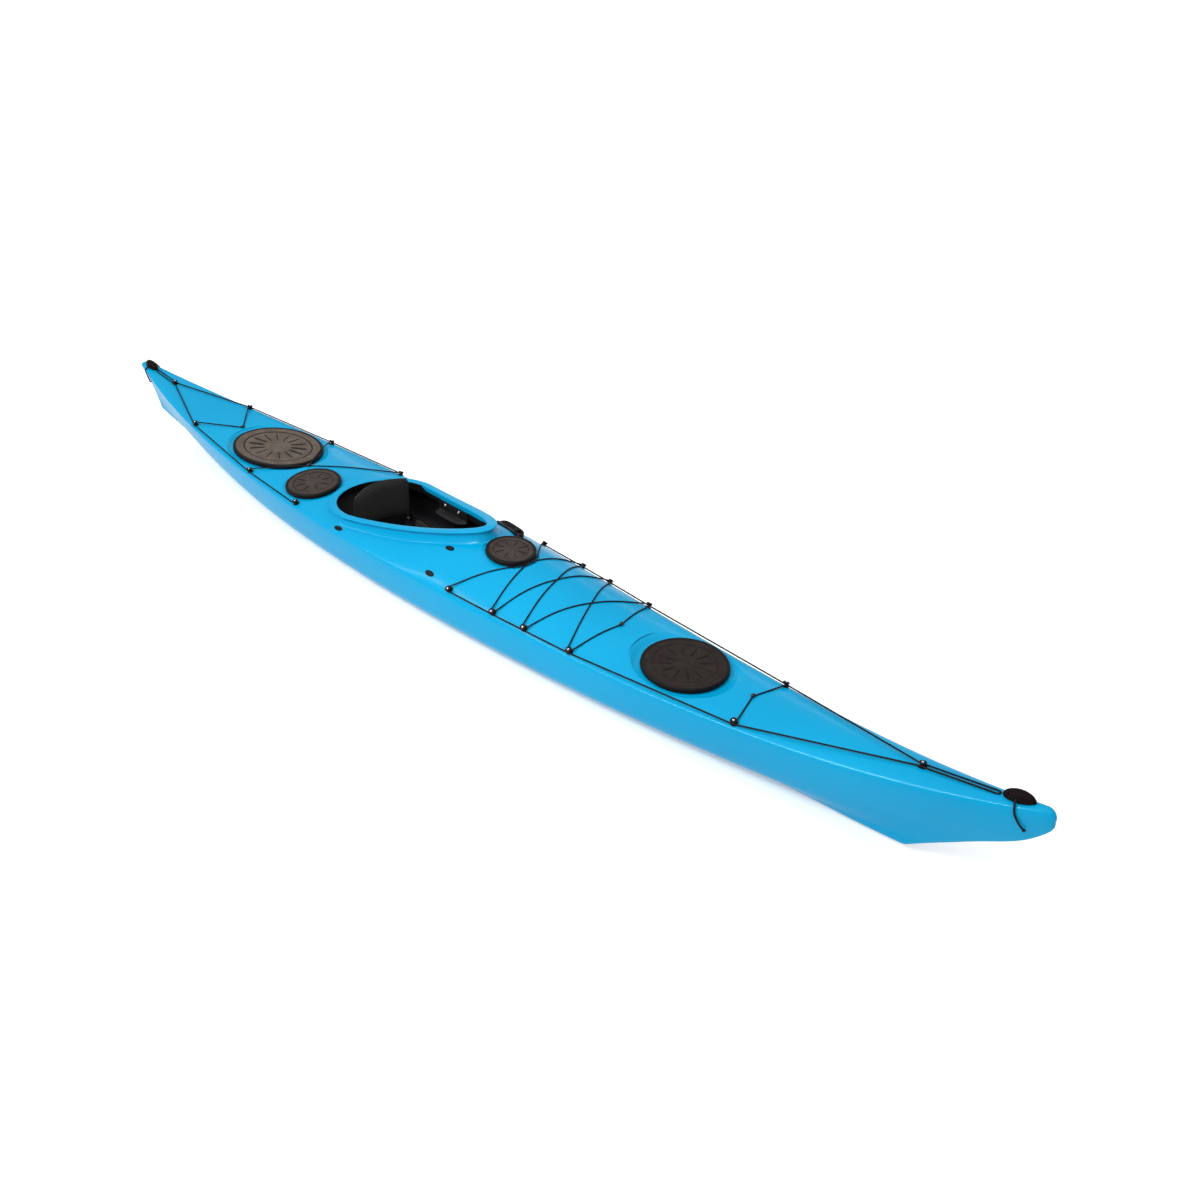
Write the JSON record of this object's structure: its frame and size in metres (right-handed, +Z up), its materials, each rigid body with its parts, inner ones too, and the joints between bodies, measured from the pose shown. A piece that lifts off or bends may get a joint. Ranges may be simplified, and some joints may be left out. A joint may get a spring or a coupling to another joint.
{
  "type": "sea kayak",
  "caption": "Long one-person sea kayak with rubber hatches, a seat and backrest in an open cockpit, a swinging skeg, toggles and deck lines.",
  "frame": {"origin": "under the middle of the boat's length, at the height of the lowest keel point", "axes": "+X towards the bow, +Y to port, +Z up"},
  "size_m": [5.1, 0.578, 0.4358],
  "materials": {
    "hull": "glossy moulded polyethylene",
    "hatch_rubber": "matt rubber",
    "black_plastic": "satin",
    "skeg_plastic": "smooth",
    "foam": "closed-cell foam with a woven cover",
    "deck_line": "braided cord",
    "bungee": "braided elastic cord",
    "metal": "brushed"
  },
  "bodies": {
    "hull": {"aft_fitting_1_port": "black_plastic", "aft_fitting_1_starboard": "black_plastic", "aft_fitting_2_port": "black_plastic", "aft_fitting_2_starboard": "black_plastic", "aft_fitting_3_port": "black_plastic", "aft_fitting_3_starboard": "black_plastic", "bow_bungee": "bungee", "bow_centre_fitting": "black_plastic", "bow_deck_line": "deck_line", "bow_fitting_port": "black_plastic", "bow_fitting_starboard": "black_plastic", "bow_hatch_rim": "black_plastic", "day_bulkhead": "foam", "day_hatch_rim": "black_plastic", "foot_rail_port": "metal", "foot_rail_starboard": "metal", "foredeck_bungee": "bungee", "foredeck_fitting_1_port": "black_plastic", "foredeck_fitting_1_starboard": "black_plastic", "foredeck_fitting_2_port": "black_plastic", "foredeck_fitting_2_starboard": "black_plastic", "foredeck_fitting_3_port": "black_plastic", "foredeck_fitting_3_starboard": "black_plastic", "foredeck_fitting_4_port": "black_plastic", "foredeck_fitting_4_starboard": "black_plastic", "front_bulkhead": "foam", "hatch_bungee": "bungee", "hip_pad_port": "foam", "hip_pad_starboard": "foam", "hull_bow": "hull", "hull_middle": "hull", "hull_stern": "hull", "pod_box": "black_plastic", "pod_hatch_rim": "black_plastic", "rear_bulkhead": "foam", "seat_cushion": "foam", "seat_shell": "black_plastic", "skeg_box": "black_plastic", "skeg_cable": "black_plastic", "slider_track": "black_plastic", "stern_bungee": "bungee", "stern_centre_fitting": "black_plastic", "stern_deck_line": "deck_line", "stern_hatch_rim": "black_plastic", "thigh_brace_port": "black_plastic", "thigh_brace_starboard": "black_plastic"},
    "backrest": {"backrest_pad": "foam", "backrest_shell": "black_plastic"},
    "bow_cover": {"bow_hatch_cover": "hatch_rubber"},
    "bow_toggle": {"bow_toggle": "black_plastic", "bow_toggle_cord": "deck_line"},
    "day_cover": {"day_hatch_cover": "hatch_rubber"},
    "foot_peg_port": {"foot_peg_port": "black_plastic"},
    "foot_peg_starboard": {"foot_peg_starboard": "black_plastic"},
    "pod_cover": {"pod_hatch_cover": "hatch_rubber"},
    "skeg": {"skeg_blade": "skeg_plastic"},
    "slider": {"slider_knob": "black_plastic"},
    "stern_cover": {"stern_hatch_cover": "hatch_rubber"},
    "stern_toggle": {"stern_toggle": "black_plastic", "stern_toggle_cord": "deck_line"}
  },
  "joints": [
    {"name": "bow_cover_lift", "type": "slide", "parent": "hull", "child": "bow_cover", "axis": [0.0054, 0, 1], "range_m": [0, 0.15]},
    {"name": "stern_cover_lift", "type": "slide", "parent": "hull", "child": "stern_cover", "axis": [-0.0103, 0, 0.9999], "range_m": [0, 0.15]},
    {"name": "day_cover_lift", "type": "slide", "parent": "hull", "child": "day_cover", "axis": [-0.0124, -0.1028, 0.9946], "range_m": [0, 0.15]},
    {"name": "pod_cover_lift", "type": "slide", "parent": "hull", "child": "pod_cover", "axis": [0.0649, 0, 0.9979], "range_m": [0, 0.15]},
    {"name": "skeg_swing", "type": "hinge", "parent": "hull", "child": "skeg", "pos_m": [-1.74802, 0, 0.06379], "axis": [0, -1, 0], "range_deg": [0, 60]},
    {"name": "backrest_tilt", "type": "hinge", "parent": "hull", "child": "backrest", "pos_m": [-0.527, 0, 0.118], "axis": [0, 1, 0], "range_deg": [-8, 72]},
    {"name": "slider_slide", "type": "slide", "parent": "hull", "child": "slider", "axis": [-0.923, 0.3285, -0.2003], "range_m": [0, 0.13]},
    {"name": "foot_peg_starboard_slide", "type": "slide", "parent": "hull", "child": "foot_peg_starboard", "axis": [0.9971, 0.0756, 0], "range_m": [-0.15, 0.12]},
    {"name": "foot_peg_port_slide", "type": "slide", "parent": "hull", "child": "foot_peg_port", "axis": [0.9971, -0.0756, 0], "range_m": [-0.15, 0.12]},
    {"name": "bow_toggle_lift", "type": "slide", "parent": "hull", "child": "bow_toggle", "axis": [0, 0, 1], "range_m": [0, 0.05], "deforming": ["bow_toggle_cord"]},
    {"name": "stern_toggle_lift", "type": "slide", "parent": "hull", "child": "stern_toggle", "axis": [0, 0, 1], "range_m": [0, 0.05], "deforming": ["stern_toggle_cord"]}
  ],
  "couplings": [
    {"joint": "slider_slide", "follows": "skeg_swing", "m_per_rad": 0.12414}
  ]
}
